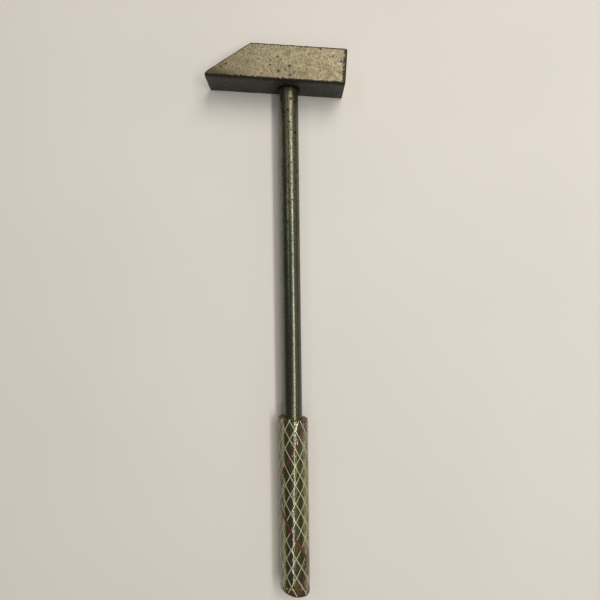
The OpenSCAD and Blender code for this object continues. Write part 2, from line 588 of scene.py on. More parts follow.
@dataclass(frozen=True)
class ClearPvc:
    """Clear, slightly yellowed PVC. Lamps shine through it, so that the braid inside is lit."""

    tint: Colour = (0.88, 0.86, 0.68)
    through: Colour = (0.93, 0.93, 0.90)
    ior: float = 1.53
    roughness: float = 0.07
    clearness: float = 0.982
    depth_tint: Colour = (0.48, 0.45, 0.20)
    depth_per_metre: float = 270.0

    def build(self) -> Material:
        """Makes the material."""
        tree = ShaderTree("clear_pvc")
        ripple = tree.noise(tree.stretched((1.0, 0.6, 1.0)), 1.5 * MM, 2.0, 0.5)
        scuff = tree.noise(tree.place, 0.6 * MM, 2.0, 0.6, seed=4.0)
        normal = tree.bump(tree.weigh((ripple, 1.0), (scuff, 0.08)), 0.045 * MM, 0.5)
        glass = tree.surface(Base_Color=self.tint, Roughness=self.roughness, IOR=self.ior,
                             Transmission_Weight=self.clearness, Normal=normal)
        open_air = tree.add("ShaderNodeBsdfTransparent", {"Color": self.through})
        path = tree.add("ShaderNodeLightPath")
        lamp = tree.most(path.outputs["Is Shadow Ray"], path.outputs["Is Diffuse Ray"])
        mix = tree.add("ShaderNodeMixShader",
                       {0: lamp, 1: glass.outputs[0], 2: open_air.outputs[0]})
        tint = tree.add("ShaderNodeVolumeAbsorption", {
            "Color": self.depth_tint, "Density": self.depth_per_metre})
        return tree.finish(mix, tint)


@dataclass(frozen=True)
class CutPvc:
    """The knife-cut ends of the hose, cloudy and stained reddish brown."""

    clean: Colour = (0.13, 0.098, 0.045)
    stain: Colour = (0.14, 0.055, 0.028)
    ior: float = 1.53

    def build(self) -> Material:
        """Makes the material."""
        tree = ShaderTree("cut_pvc")
        blotch = tree.noise(tree.place, 2.2 * MM, 4.0, 0.6)
        streak = tree.noise(tree.stretched((0.5, 1.0, 1.0)), 0.5 * MM, 3.0, seed=3.0)
        x, _, _ = tree.axes(tree.place)
        share = tree.total(tree.spread(tree.weigh((blotch, 1.0), (streak, 0.3)), 0.48, 0.78),
                           tree.spread(x, -1 * MM, 4 * MM, 0.0, 0.5))
        colour = tree.blend(tree.spread(share, 0.0, 1.0), self.clean, self.stain)
        rough = tree.spread(blotch, 0.3, 0.7, 0.35, 0.6)
        return tree.finish(tree.surface(Base_Color=colour, Roughness=rough, IOR=self.ior,
                                        Normal=tree.bump(streak, 0.08 * MM, 0.8)))


class YarnTone(Enum):
    """The two colours of yarn in the braid: deep in the bundle, and on its crests."""

    WHITE = ((0.66, 0.66, 0.58), (0.97, 0.97, 0.94))
    RED = ((0.055, 0.005, 0.004), (0.18, 0.019, 0.012))


@dataclass(frozen=True)
class YarnFibre:
    """Polyester yarn: a flat bundle of filaments with a soft sheen."""

    tone: YarnTone
    sheen: float = 0.2

    def build(self) -> Material:
        """Makes the material."""
        deep, crest = self.tone.value
        tree = ShaderTree(f"yarn_{self.tone.name.lower()}")
        fibre = tree.noise(tree.stretched((1.0, 0.25, 1.0)), 0.16 * MM, 2.0, 0.6)
        patch = tree.noise(tree.place, 1.6 * MM, 3.0, 0.5, seed=5.0)
        value = tree.weigh((fibre, 0.5), (patch, 0.5))
        colour = tree.ramp(tree.spread(value, 0.3, 0.62), (0.0, deep), (1.0, crest))
        rough = tree.spread(patch, 0.3, 0.7, 0.65, 0.5)
        return tree.finish(tree.surface(Base_Color=colour, Roughness=rough, Sheen_Weight=self.sheen,
                                        Normal=tree.bump(fibre, 0.05 * MM, 0.7)))


@dataclass(frozen=True)
class PlainFloor:
    """A plain pale surface."""

    colour: Colour = (0.75, 0.718, 0.682)
    darkest: float = 0.965

    def build(self) -> Material:
        """Makes the material."""
        tree = ShaderTree("plain_floor")
        fleck = tree.noise(tree.place, 0.5 * MM, 3.0, 0.6)
        cloud = tree.noise(tree.place, 90 * MM, 2.0, 0.5, seed=2.0)
        value = tree.weigh((fleck, 0.3), (cloud, 0.7))
        shade = tuple(self.darkest * channel for channel in self.colour)
        colour = tree.blend(tree.spread(value, 0.35, 0.65), self.colour, shade)
        return tree.finish(tree.surface(Base_Color=colour, Roughness=0.85,
                                        Normal=tree.bump(fleck, 0.03 * MM, 0.4)))


# ---------------------------------------------------------------------------
# Shared shaping
# ---------------------------------------------------------------------------


def wear_tree() -> GeometryTree:
    """Builds the tree that gives a dense mesh its uneven, pitted surface.

    Returns:
        The tree. It moves points along their normals and sets the material.
    """
    tree = GeometryTree("worn_surface", Swell=float, Swell_Size=float, Grain=float,
                        Grain_Size=float, Pit_Depth=float, Pit_Pitch=float, Pit_Share=float,
                        Seed=float, Finish=Material)
    place = tree.add("GeometryNodeInputPosition").outputs[0]
    normal = tree.add("GeometryNodeInputNormal").outputs[0]

    def wave(size: Socket, height: Socket, shift: float) -> Socket:
        """One layer of noise, centred on zero, as a height in metres."""
        node = tree.add("ShaderNodeTexNoise", {
            "Vector": place, "W": tree.math("ADD", tree.value("Seed"), shift),
            "Scale": tree.math("DIVIDE", 1.0, size), "Detail": 2.0}, noise_dimensions="4D")
        centred = tree.math("SUBTRACT", node.outputs["Fac"], 0.5)
        return tree.product(centred, height, 2.0)

    cell = tree.add("ShaderNodeTexVoronoi", {
        "Vector": place, "W": tree.value("Seed"),
        "Scale": tree.math("DIVIDE", 1.0, tree.value("Pit_Pitch")), "Randomness": 1.0},
        voronoi_dimensions="4D")
    chosen = tree.add("FunctionNodeSeparateColor", {"Color": cell.outputs["Color"]})
    here = tree.math("LESS_THAN", chosen.outputs[0], tree.value("Pit_Share"))
    pit = tree.product(tree.spread(cell.outputs["Distance"], 0.26, 0.0, smooth=True), here)
    waves = tree.total(wave(tree.value("Swell_Size"), tree.value("Swell"), 0.0),
                       wave(tree.value("Grain_Size"), tree.value("Grain"), 3.0))
    height = tree.math("SUBTRACT", waves, tree.product(pit, tree.value("Pit_Depth")))
    offset = tree.add("ShaderNodeVectorMath", {0: normal}, operation="SCALE")
    tree.feed(offset.inputs["Scale"], height)
    moved = tree.add("GeometryNodeSetPosition",
                     {"Geometry": tree.value("Geometry"), "Offset": offset.outputs[0]})
    tree.finish(moved.outputs[0], tree.value("Finish"))
    return tree


def outwards(mesh: Mesh, merge: float = 0.0) -> None:
    """Turns a closed mesh's faces outwards.

    Args:
        mesh: The mesh.
        merge: Points closer than this are merged first, in metres.
    """
    shape = bmesh.new()
    shape.from_mesh(mesh)
    if merge:
        bmesh.ops.remove_doubles(shape, verts=shape.verts, dist=merge)
    bmesh.ops.recalc_face_normals(shape, faces=shape.faces)
    shape.to_mesh(mesh)
    shape.free()


def grid_mesh(name: str, points: np.ndarray, faces: np.ndarray) -> Mesh:
    """Makes a mesh from arrays.

    Args:
        name: The mesh's name.
        points: One row per point, in metres.
        faces: One row of four point numbers per face.

    Returns:
        The mesh, with doubles merged and normals outwards.
    """
    mesh = bpy.data.meshes.new(name)
    mesh.from_pydata(points.tolist(), [], faces.tolist())
    outwards(mesh, merge=1e-7)
    return mesh


def ring_faces(rings: int, around: int, closed: bool) -> np.ndarray:
    """Faces between rings of points.

    Args:
        rings: Number of rings.
        around: Points in a ring.
        closed: Whether the last ring joins the first.

    Returns:
        Four point numbers per face.
    """
    ring = np.arange(rings if closed else rings - 1)[:, None]
    spoke = np.arange(around)[None, :]
    after, beside = (ring + 1) % rings, (spoke + 1) % around
    corners = (ring * around + spoke, ring * around + beside,
               after * around + beside, after * around + spoke)
    return np.stack(corners, axis=-1).reshape(-1, 4)


def store(mesh: Mesh, name: str, values: np.ndarray) -> None:
    """Keeps one value per point on a mesh, for its material.

    Args:
        mesh: The mesh.
        name: The value's name.
        values: One number per point.
    """
    layer = mesh.attributes.new(name, "FLOAT", "POINT")
    layer.data.foreach_set("value", np.asarray(values, np.float32))


def points_of(mesh: Mesh) -> np.ndarray:
    """The mesh's points, one row each."""
    flat = np.empty(len(mesh.vertices) * 3, np.float32)
    mesh.vertices.foreach_get("co", flat)
    return flat.reshape(-1, 3).astype(float)


def own(piece: Piece, slot: str, *nodes: str) -> None:
    """Ties a finished piece to the frame.

    Args:
        piece: The piece.
        slot: The record's material slot; not used.
        nodes: The CAD nodes that it stands for.
    """
    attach(piece, BODY)
    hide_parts(*nodes)
    LOG.info("%s: %d faces, stands for %s", piece.name, len(piece.data.polygons), ", ".join(nodes))


# ---------------------------------------------------------------------------
# Head, rod and weld
# ---------------------------------------------------------------------------


@dataclass
class Head:
    """The steel head: a rounded block with a slanted chisel end and a hole for the rod."""

    skew: float
    rod_z: float
    thickness: float
    width: float = 18.0 * MM
    tip_reach: float = 42.7 * MM
    face_reach: float = 30.0 * MM
    slant_start: float = 19.7 * MM
    tip_land: float = 1.4 * MM
    edge_round: float = 0.85 * MM
    pitch: float = 0.46 * MM
    skin: float = 0.06 * MM
    hole_radius: float = 5.45 * MM
    seat_radius: float = 6.8 * MM
    seat_depth: float = 2.0 * MM
    # The chisel's two ends: how far along the wear reaches, and how deep it goes
    wear_reach: float = 3.2 * MM
    wear_depth: float = 1.0 * MM
    # Painted shadow in and round the hole's mouth, and the soft edge of the side painted in shade
    mouth_shadow_width: float = 0.75 * MM
    mouth_shadow_fade: float = 0.5 * MM
    painted_shade_fade: float = 0.45 * MM
    # Larger pits in the top face, in millimetres: place along and across the head, and radius
    pits: tuple[tuple[float, float, float], ...] = (
        (-34.1, -4.2, 0.45), (-17.5, 3.2, 0.30), (-13.0, -6.6, 0.40), (-9.0, -1.9, 0.38),
        (-5.6, 2.5, 0.50), (-4.6, -4.7, 0.52), (-1.7, -3.3, 0.38), (-1.0, -4.4, 0.32),
        (0.8, -1.8, 0.55), (1.3, -6.5, 0.45), (3.4, -4.9, 0.38), (22.8, 4.6, 0.42),
        (27.2, 2.2, 0.50), (26.5, -3.6, 0.32))

    def outline(self) -> np.ndarray:
        """Corners of the head seen from above, square to its own axis, anticlockwise."""
        half = self.width / 2
        return np.array([
            (-self.tip_reach, -half), (self.face_reach, -half), (self.face_reach, half),
            (-self.slant_start, half), (-self.tip_reach, self.tip_land - half)])

    def steps(self, length: float) -> np.ndarray:
        """Places along an edge, from 0 to 1, close together near both ends.

        Args:
            length: The edge's length.

        Returns:
            The places, ends included.
        """
        near = np.array([0.0, 0.14, 0.28, 0.42, 0.58, 0.76, 0.98]) * self.edge_round * 1.5 / length
        inner = np.linspace(near[-1], 1 - near[-1], max(3, int(length / self.pitch)))
        return np.concatenate([near, inner[1:-1], 1 - near[::-1]])

    def left_side(self, v: np.ndarray) -> np.ndarray:
        """Where the chisel end lies at a place across the head."""
        half = self.width / 2
        rise = np.clip((v + half - self.tip_land) / (self.width - self.tip_land), 0, 1)
        return -self.tip_reach + rise * (self.tip_reach - self.slant_start)

    def block(self) -> tuple[np.ndarray, np.ndarray]:
        """The sharp-edged block as six grids of points.

        Returns:
            Points in the head's own axes, and faces.
        """
        lengths = (self.tip_reach + self.face_reach, self.width, self.thickness)
        points, faces, count = [], [], 0
        # Each pair of faces keeps one of the three shares at 0 or at 1
        for fixed, side in ((2, 0), (2, 1), (1, 0), (1, 1), (0, 0), (0, 1)):
            first, second = (self.steps(lengths[k]) for k in range(3) if k != fixed)
            shares = list(np.meshgrid(first, second, indexing="ij"))
            shares.insert(fixed, np.full(shares[0].shape, float(side)))
            along, across, up = shares
            v = (across - 0.5) * self.width
            left = self.left_side(v)
            u = left + along * (self.face_reach - left)
            z = self.skin + up * (self.thickness - 2 * self.skin)
            points.append(np.stack([u, v, z], axis=-1).reshape(-1, 3))
            rows, columns = up.shape
            i, j = np.meshgrid(np.arange(rows - 1), np.arange(columns - 1), indexing="ij")
            corner = count + i * columns + j
            square = (corner, corner + columns, corner + columns + 1, corner + 1)
            faces.append(np.stack(square, axis=-1).reshape(-1, 4))
            count += rows * columns
        return np.concatenate(points), np.concatenate(faces)

    def rounded(self, points: np.ndarray) -> np.ndarray:
        """Rolls the sharp edges over, by a radius that wanders along them.

        Args:
            points: Points of the sharp block.

        Returns:
            The moved points.
        """
        u, v, z = points.T
        # Three waves of different lengths, in radians per metre
        wander = (0.5 * np.sin(u * 730 + 2 * z * 410) + 0.3 * np.sin(u * 1730 + v * 900)
                  + 0.2 * np.sin(u * 3300 + z * 2100 + 1.3))
        radius = self.edge_round * (1 + 0.28 * wander)
        corners = self.outline()
        before, after = np.roll(corners, 1, axis=0), np.roll(corners, -1, axis=0)
        into = (corners - before) / np.linalg.norm(corners - before, axis=1)[:, None]
        out = (after - corners) / np.linalg.norm(after - corners, axis=1)[:, None]
        normal_in = np.stack([-into[:, 1], into[:, 0]], axis=1)
        normal_out = np.stack([-out[:, 1], out[:, 0]], axis=1)
        mitre = (normal_in + normal_out) / (1 + (normal_in * normal_out).sum(1))[:, None]
        best = np.full(len(points), np.inf)
        nearest = points[:, :2].copy()
        inside = np.full(len(points), True)
        for k in range(len(corners)):
            m = (k + 1) % len(corners)
            a = corners[k] + radius[:, None] * mitre[k]
            b = corners[m] + radius[:, None] * mitre[m]
            edge = b - a
            share = np.clip(((points[:, :2] - a) * edge).sum(1) / (edge ** 2).sum(1), 0, 1)
            foot = a + share[:, None] * edge
            gap = np.linalg.norm(points[:, :2] - foot, axis=1)
            closer = gap < best
            nearest[closer], best[closer] = foot[closer], gap[closer]
            inside &= ((points[:, :2] - a) * normal_out[k]).sum(1) >= 0
        nearest[inside] = points[inside, :2]
        core = np.column_stack([nearest, np.clip(z, radius, self.thickness - radius)])
        away = points - core
        length = np.maximum(np.linalg.norm(away, axis=1), 1e-9)
        moved = core + away / length[:, None] * np.minimum(radius, length)[:, None]
        # The chisel's two ends are worn round
        near_tip = np.clip(1 - (moved[:, 0] + self.tip_reach) / self.wear_reach, 0, 1)
        end = np.abs(2 * moved[:, 2] / self.thickness - 1) ** 9
        moved[:, 0] += self.wear_depth * near_tip ** 1.5 * end
        return moved

    def to_row(self) -> Matrix:
        """The turn from the head's own axes to the row's."""
        return Matrix.Rotation(self.skew, 4, "Z")

    def cutter(self, name: str, place: Matrix, rings: Sequence[tuple[float, float]]) -> Piece:
        """A round cutting tool turned about its own Z axis.

        Args:
            name: The tool's name.
            place: Where it stands.
            rings: Pairs of a height and a radius, from one end to the other.

        Returns:
            The tool.
        """
        shape = bmesh.new()
        around = 96
        turns = [(math.cos(math.tau * i / around), math.sin(math.tau * i / around))
                 for i in range(around)]
        loops = [[shape.verts.new((radius * x, radius * y, height)) for x, y in turns]
                 for height, radius in rings]
        for low, high in zip(loops, loops[1:]):
            for i in range(around):
                after = (i + 1) % around
                shape.faces.new((low[i], low[after], high[after], high[i]))
        shape.faces.new(reversed(loops[0]))
        shape.faces.new(loops[-1])
        mesh = bpy.data.meshes.new(name)
        shape.to_mesh(mesh)
        shape.free()
        mesh.transform(place)
        return put_in_scene(name, mesh)

    def outer_side(self) -> Matrix:
        """The frame of the outer side where the rod comes through, with +Z out of the face."""
        shift = Vector((self.width / 2 * math.tan(self.skew), self.width / 2, self.rod_z))
        return self.to_row() @ Matrix.Translation(shift) @ Matrix.Rotation(-math.pi / 2, 4, "X")

    def build(self, wear: GeometryTree, finish: HeadSteel) -> None:
        """Makes the head.

        Args:
            wear: The tree that roughens the surface.
            finish: The steel.
        """
        sharp, faces = self.block()
        mesh = grid_mesh("head_block", self.rounded(sharp), faces)
        mesh.transform(self.to_row())
        block = put_in_scene("head_block", mesh)
        along_rod = Matrix.Translation((0, 0, self.rod_z)) @ Matrix.Rotation(math.pi / 2, 4, "X")
        reach = 2 * self.width
        past = 0.5 * MM
        tools = [
            self.cutter("hole", along_rod, ((-reach, self.hole_radius), (reach, self.hole_radius))),
            self.cutter("seat", self.outer_side(), (
                (-self.seat_depth, self.seat_radius - self.seat_depth),
                (past, self.seat_radius + past))),
        ]
        for tool in tools:
            cut = block.modifiers.new(tool.name, "BOOLEAN")
            cut.operation, cut.solver, cut.object = "DIFFERENCE", "EXACT", tool
        graph = bpy.context.evaluated_depsgraph_get()
        bored = bpy.data.meshes.new_from_object(block.evaluated_get(graph), depsgraph=graph)
        for spare in [block, *tools]:
            bpy.data.objects.remove(spare)
        piece = wear.run("hammer_head", bored, Swell=0.05 * MM, Swell_Size=7 * MM,
                         Grain=0.022 * MM, Grain_Size=1.3 * MM, Pit_Depth=0.12 * MM,
                         Pit_Pitch=3.4 * MM, Pit_Share=0.16, Seed=11.0, Finish=finish.build())
        self.mark(piece.data)
        own(piece, "head_steel", "head")

    def mark(self, mesh: Mesh) -> None:
        """Stores where the edge bands, the pits, the painted shadow at the hole's mouth and the
        side painted in shade are.

        Args:
            mesh: The head's mesh.
        """
        u, v, z = (points_of(mesh) @ np.array(self.to_row().to_3x3())).T
        half = self.width / 2
        back, rise = self.tip_reach - self.slant_start, self.width - self.tip_land
        slant = (rise * (u + self.slant_start) - back * (v - half)) / math.hypot(back, rise)
        top, near, far, face = self.thickness - z, v + half, half - v, self.face_reach - u
        # How wide the dark band is along each pair of faces, in millimetres
        bands = [(top / 3.0, near, 1.7), (top, face, 3.2), (top, far, 1.5), (top, slant, 1.1),
                 (near, face, 1.6), (near, slant, 1.8), (near, z, 1.2), (far, face, 1.2),
                 (far, slant, 0.95), (z, face, 1.2), (z, slant, 1.2), (z, far, 1.2)]
        edge = np.zeros(len(u))
        for first, second, width in bands:
            edge = np.maximum(edge, 1 - np.maximum(first, second) / (width * MM))
        store(mesh, "edge", np.clip(edge, 0, 1))
        # A pit is dark out to 0.7 of its radius and fades out at 1.7
        pit = np.zeros(len(u))
        for along, across, radius in self.pits:
            gap = np.hypot(u - along * MM, v - across * MM) / (radius * MM)
            pit = np.maximum(pit, (1.7 - gap) * (top < 1 * MM))
        store(mesh, "pit", np.clip(pit, 0, 1))
        # The painted shadow at the mouth stays off the outer side, where the weld is
        off_axis = np.hypot(points_of(mesh)[:, 0], z - self.rod_z)
        mouth = 1 - (off_axis - self.hole_radius - self.mouth_shadow_width) / self.mouth_shadow_fade
        store(mesh, "mouth", np.clip(mouth * (far > 0.3 * MM), 0, 1))
        # Painted shade on the side toward the grip, which faces away from the light
        store(mesh, "shade_side", np.clip(1 - near / self.painted_shade_fade, 0, 1))


@dataclass
class Rod:
    """The round bar that is the handle."""

    low_y: float
    high_y: float
    axis_z: float
    radius: float = 5.0 * MM
    around: int = 96
    pitch: float = 0.42 * MM
    bevel: float = 0.6 * MM

    def build(self, wear: GeometryTree, finish: RodSteel, end_plane: Matrix) -> None:
        """Makes the rod, with its end in the head cut to the weld's floor.

        Args:
            wear: The tree that roughens the surface.
            finish: The steel.
            end_plane: Frame of the cut end, with +Z away from the rod.
        """
        rows = max(2, int((self.high_y - self.low_y) / self.pitch))
        straight = np.linspace(self.low_y + self.bevel, self.high_y, rows)
        radii = [0.0, 0.25, 0.5, 0.75, 1 - self.bevel / self.radius]
        profile = [(self.radius * r, self.low_y) for r in radii]
        profile += [(self.radius, y) for y in straight]
        profile += [(self.radius * r, self.high_y) for r in (0.75, 0.5, 0.25, 0.0)]
        radius, y = np.array(profile).T
        angle = np.linspace(0, math.tau, self.around, endpoint=False)
        x = radius[:, None] * np.cos(angle)
        z = self.axis_z + radius[:, None] * np.sin(angle)
        y = np.broadcast_to(y[:, None], x.shape).copy()
        # The end in the head follows the plane that the weld sits on
        normal = np.array(end_plane.to_3x3())[:, 2]
        spot = np.array(end_plane.translation)
        limit = spot[1] - (normal[0] * (x - spot[0]) + normal[2] * (z - spot[2])) / normal[1]
        y = np.minimum(y, limit)
        points = np.stack([x, y, z], axis=-1).reshape(-1, 3)
        mesh = grid_mesh("rod_bar", points, ring_faces(len(profile), self.around, False))
        piece = wear.run("handle_rod_bar", mesh, Swell=0.012 * MM, Swell_Size=9 * MM,
                         Grain=0.006 * MM, Grain_Size=0.9 * MM, Pit_Depth=0.05 * MM,
                         Pit_Pitch=3.0 * MM, Pit_Share=0.14, Seed=4.0, Finish=finish.build())
        own(piece, "rod_steel", "handle_rod")


@dataclass
class PlugWeld:
    """The weld bead that holds the rod, on the head's outer side."""

    place: Matrix
    seat_radius: float
    seat_depth: float
    rise: float = 1.15 * MM
    gap: float = 0.03 * MM
    ripple_height: float = 0.085 * MM
    around: int = 120
    rings: int = 34
    ripples: float = 4.0

    def build(self, wear: GeometryTree, finish: WeldMetal) -> None:
        """Makes the bead as a spiral run of overlapping ripples.

        Args:
            wear: The tree that roughens the surface.
            finish: The weld metal.
        """
        angle = np.linspace(0, math.tau, self.around, endpoint=False)
        share = np.linspace(1, 0, self.rings)[:, None]
        lobes = 1 + 0.022 * np.sin(5 * angle + 0.7) + 0.015 * np.sin(9 * angle + 2.0)
        dome = self.rise * (1 - share ** 2) * (1 - 0.12 * np.exp(-(share / 0.25) ** 2))
        spiral = np.sin(math.tau * (self.ripples * share + angle / math.tau))
        crest = spiral * np.sin(math.pi * np.minimum(share, 0.985)) ** 0.5
        top_z = self.gap + dome + self.ripple_height * crest
        top_r = self.seat_radius * (1 - 0.03 * share) * share * lobes
        # Under the bead: the foot's middle, then the cone that fills the seat
        deep = self.seat_depth * np.array([1.0, 1.0, 0.5, 0.0])
        under_r = np.where([True, False, False, False], 0.0, self.seat_radius - deep - self.gap)
        radius = np.concatenate([np.tile(under_r[:, None], self.around), top_r])
        height = np.concatenate([np.tile(-deep[:, None], self.around), top_z])
        points = np.stack([radius * np.cos(angle), radius * np.sin(angle), height], axis=-1)
        mesh = grid_mesh("weld", points.reshape(-1, 3),
                         ring_faces(len(radius), self.around, False))
        mesh.transform(self.place)
        piece = wear.run("plug_weld_bead", mesh, Swell=0.05 * MM, Swell_Size=3 * MM,
                         Grain=0.02 * MM, Grain_Size=0.6 * MM, Pit_Depth=0.1 * MM,
                         Pit_Pitch=2.4 * MM, Pit_Share=0.1, Seed=8.0, Finish=finish.build())
        out = np.array(self.place.to_3x3())[:, 2]
        level = (points_of(piece.data) - np.array(self.place.translation)) @ out
        store(piece.data, "crest", np.clip((level - 0.7 * self.rise) / (0.4 * self.rise), 0, 1))
        own(piece, "weld_metal", "plug_weld")


# ---------------------------------------------------------------------------
# Hose grip
# ---------------------------------------------------------------------------


# How far the hose's two ends are cut out of square
NEAR_CUT = math.radians(7.0)
FAR_CUT = math.radians(14.3)
# How far the bowed far cut's middle stands past the straight one's
BOWED_PAST = 0.6 * MM


class Hand(Enum):
    """Which way a yarn spirals round the hose."""

    LEFT = 1
    RIGHT = -1


@dataclass
class Braid:
    """The yarns between the hose's two walls: two layers that spiral against each other."""

    axis_z: float
    start: float
    stop: float
    near_cut: float = NEAR_CUT
    far_cut: float = FAR_CUT
    each_way: int = 8
    lead: float = 78.0 * MM
    red_at: dict[Hand, float] = field(default_factory=lambda: {
        Hand.LEFT: -246.9 * MM, Hand.RIGHT: -201.3 * MM})
    radius: dict[Hand, float] = field(default_factory=lambda: {
        Hand.LEFT: 6.64 * MM, Hand.RIGHT: 6.36 * MM})
    width: dict[YarnTone, float] = field(default_factory=lambda: {
        YarnTone.WHITE: 0.44 * MM, YarnTone.RED: 1.40 * MM})
    filaments: dict[YarnTone, float] = field(default_factory=lambda: {
        YarnTone.WHITE: 5.0, YarnTone.RED: 8.0})
    thickness: float = 0.22 * MM
    wander: float = 0.55 * MM
    inset: float = 0.15 * MM
    far_bow: float = 1.3 * MM
    hose_radius: float = 8.0 * MM
    ridge_width: float = 0.75 * MM

    def end_y(self, plane_y: float, cut: float, bow: float,
              x: np.ndarray | float) -> np.ndarray | float:
        """Where a cut end of the hose lies.

        Args:
            plane_y: Its place on the axis.
            cut: How far it is out of square, in radians.
            bow: How far its two sides curve back from the middle.
            x: Place across the hose.

        Returns:
            The place along Y.
        """
        return plane_y - x * math.tan(cut) + bow * (x / self.hose_radius) ** 2

    def tree(self) -> GeometryTree:
        """Builds the tree that bends a short cylinder into one spiral yarn.

        Returns:
            The tree. Its cylinder's long axis becomes the run round the hose.
        """
        tree = GeometryTree("spiral_yarn", Hand=float, Top_Y=float, Start_Y=float, Stop_Y=float,
                            Radius=float, Width=float, Thickness=float, Lead=float,
                            Axis_Z=float, Filaments=float, Wander=float, Seed=float, Rings=int,
                            Finish=Material)
        rod = tree.add("GeometryNodeMeshCylinder", {
            "Vertices": 20, "Side Segments": tree.value("Rings"), "Radius": 1.0, "Depth": 1.0})
        across, deep, height = tree.axes(tree.add("GeometryNodeInputPosition").outputs[0])
        # How far along the yarn, and where round its own section
        along = tree.total(height, 0.5)
        turn = tree.math("ARCTAN2", deep, across)
        turn_x, turn_y = tree.math("COSINE", turn), tree.math("SINE", turn)
        span = tree.math("SUBTRACT", tree.value("Stop_Y"), tree.value("Start_Y"))
        y = tree.math("MULTIPLY_ADD", along, span, tree.value("Start_Y"))
        probe = tree.add("ShaderNodeCombineXYZ", {"X": y}).outputs[0]

        def waver(shift: float, waves: float, detail: float) -> Socket:
            """A value that changes along the yarn, with so many waves in a metre."""
            return tree.add("ShaderNodeTexNoise", {
                "Vector": probe, "W": tree.total(tree.value("Seed"), shift), "Scale": waves,
                "Detail": detail}, noise_dimensions="4D").outputs["Fac"]

        sway = tree.math("SUBTRACT", waver(shift=0.0, waves=95.0, detail=1.0), 0.5)
        drift = tree.product(sway, tree.value("Wander"))
        pinch = tree.spread(waver(shift=40.0, waves=420.0, detail=2.0), 0.25, 0.75, 0.74, 1.2)
        # The section: flat, with a row of filaments on both faces
        ribs = tree.math("COSINE", tree.product(turn_x, tree.value("Filaments"), math.pi))
        full = tree.math("MULTIPLY_ADD", ribs, 0.16, 0.84)
        out = tree.product(turn_y, full, tree.value("Thickness"), 0.5)
        slope = tree.math("DIVIDE", tree.product(tree.value("Radius"), math.tau),
                          tree.value("Lead"))
        stretch = tree.math("SQRT", tree.math("MULTIPLY_ADD", slope, slope, 1.0))
        side = tree.product(turn_x, pinch, tree.value("Width"), 0.5, stretch)
        lateral = tree.math("DIVIDE", tree.total(side, drift), tree.value("Radius"))
        past_top = tree.math("SUBTRACT", y, tree.value("Top_Y"))
        spin = tree.math("DIVIDE", tree.product(past_top, math.tau), tree.value("Lead"))
        angle = tree.total(spin, lateral, math.pi / 2)
        radius = tree.total(tree.value("Radius"), out)
        x = tree.product(tree.math("COSINE", angle), radius, tree.value("Hand"))
        z = tree.math("MULTIPLY_ADD", tree.math("SINE", angle), radius, tree.value("Axis_Z"))
        target = tree.add("ShaderNodeCombineXYZ", {"X": x, "Y": y, "Z": z})
        moved = tree.add("GeometryNodeSetPosition",
                         {"Geometry": rod.outputs["Mesh"], "Position": target.outputs[0]})
        tree.finish(moved.outputs[0], tree.value("Finish"))
        return tree

    def meet(self, hand: Hand, top_y: float, plane_y: float, cut: float, bow: float) -> float:
        """Where a yarn meets a slanted end of the hose.

        Args:
            hand: Which way it spirals.
            top_y: Where it is on top.
            plane_y: The end's place on the axis.
            cut: The end's angle out of square, in radians.
            bow: How far the end's two sides curve back.

        Returns:
            The place along Y.
        """
        y = plane_y
        # The place settles within a few rounds, because the cuts are nearly square
        for _ in range(8):
            angle = math.pi / 2 + math.tau * (y - top_y) / self.lead
            y = self.end_y(plane_y, cut, bow, hand.value * self.radius[hand] * math.cos(angle))
        return y

    def build(self) -> None:
        """Makes all the yarns, each a piece of its own."""
        tree = self.tree()
        finishes = {tone: YarnFibre(tone).build() for tone in YarnTone}
        for hand in Hand:
            word = hand.name.lower()
            for n in range(self.each_way):
                tone = YarnTone.WHITE if n else YarnTone.RED
                node = f"white_yarn_{word}_{n}" if n else f"red_yarn_{word}"
                top_y = self.red_at[hand] - n * self.lead / self.each_way
                start = self.meet(hand, top_y, self.start - self.inset, self.near_cut, 0.0)
                stop = self.meet(hand, top_y, self.stop + self.inset, self.far_cut, self.far_bow)
                yarn = tree.run(
                    f"{node}_strand", Hand=float(hand.value), Top_Y=top_y, Start_Y=start,
                    Stop_Y=stop, Radius=self.radius[hand], Width=self.width[tone],
                    Thickness=self.thickness, Lead=self.lead, Axis_Z=self.axis_z,
                    Filaments=self.filaments[tone], Wander=self.wander,
                    Seed=float(3 * n + 50 * (hand is Hand.LEFT)), Rings=150,
                    Finish=finishes[tone])
                outwards(yarn.data)
                own(yarn, "braid_yarn" if n else "marker_yarn", node)

    def ridges(self, angle: np.ndarray, y: np.ndarray) -> np.ndarray:
        """How much the wall stands over a yarn.

        Args:
            angle: Angle round the hose, from +X towards +Z, in radians.
            y: Place along the hose.

        Returns:
            1 over a yarn and 0 between yarns, added for the two ways.
        """
        total = np.zeros(np.broadcast(angle, y).shape)
        for hand in Hand:
            turn = angle if hand is Hand.LEFT else math.pi - angle
            phase = turn - math.pi / 2 - math.tau * (y - self.red_at[hand]) / self.lead
            between = math.tau / self.each_way
            steps = phase / between
            off = np.abs(steps - np.round(steps)) * between * self.radius[hand]
            total += np.exp(-(off / self.ridge_width) ** 2)
        return total


